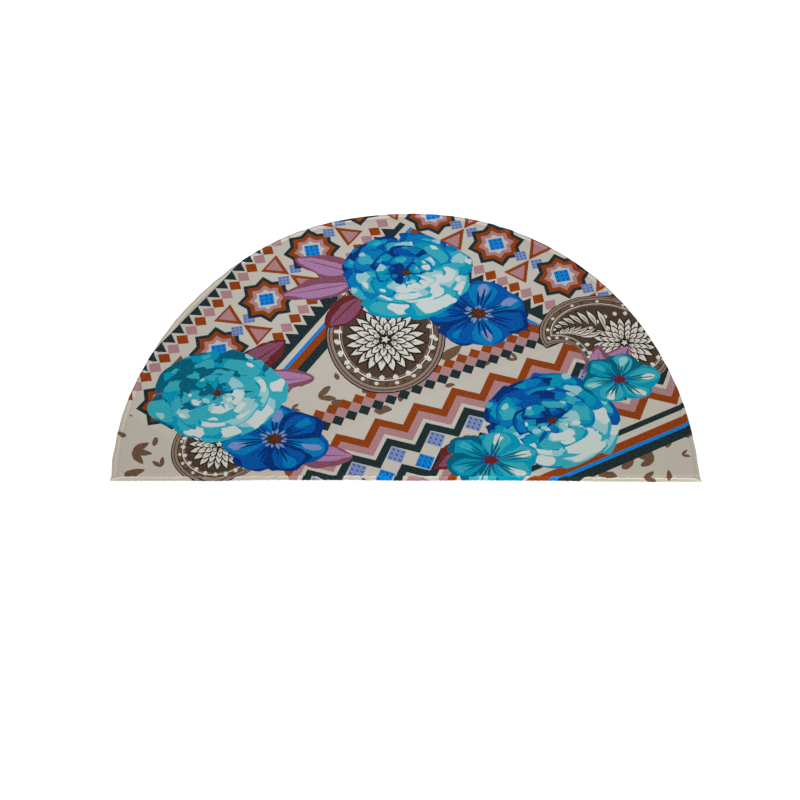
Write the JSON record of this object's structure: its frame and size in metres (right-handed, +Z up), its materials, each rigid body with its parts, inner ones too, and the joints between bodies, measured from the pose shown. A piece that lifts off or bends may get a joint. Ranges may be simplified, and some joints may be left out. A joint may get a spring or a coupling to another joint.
{
  "type": "half round doormat",
  "caption": "Half-round cloth doormat lying flat, its edge turned over and sewn down all round, with an all-over print of flowers, paisleys and striped bands.",
  "frame": {"origin": "on the floor, under the middle of the mat's box", "axes": "+X along the straight edge to the right, +Y from the straight edge towards the top of the arc, +Z up out of the printed face"},
  "size_m": [0.7494, 0.45, 0.0046],
  "materials": {
    "printed_cloth": "matt"
  },
  "bodies": {
    "root": {"mat": "printed_cloth"}
  },
  "joints": []
}
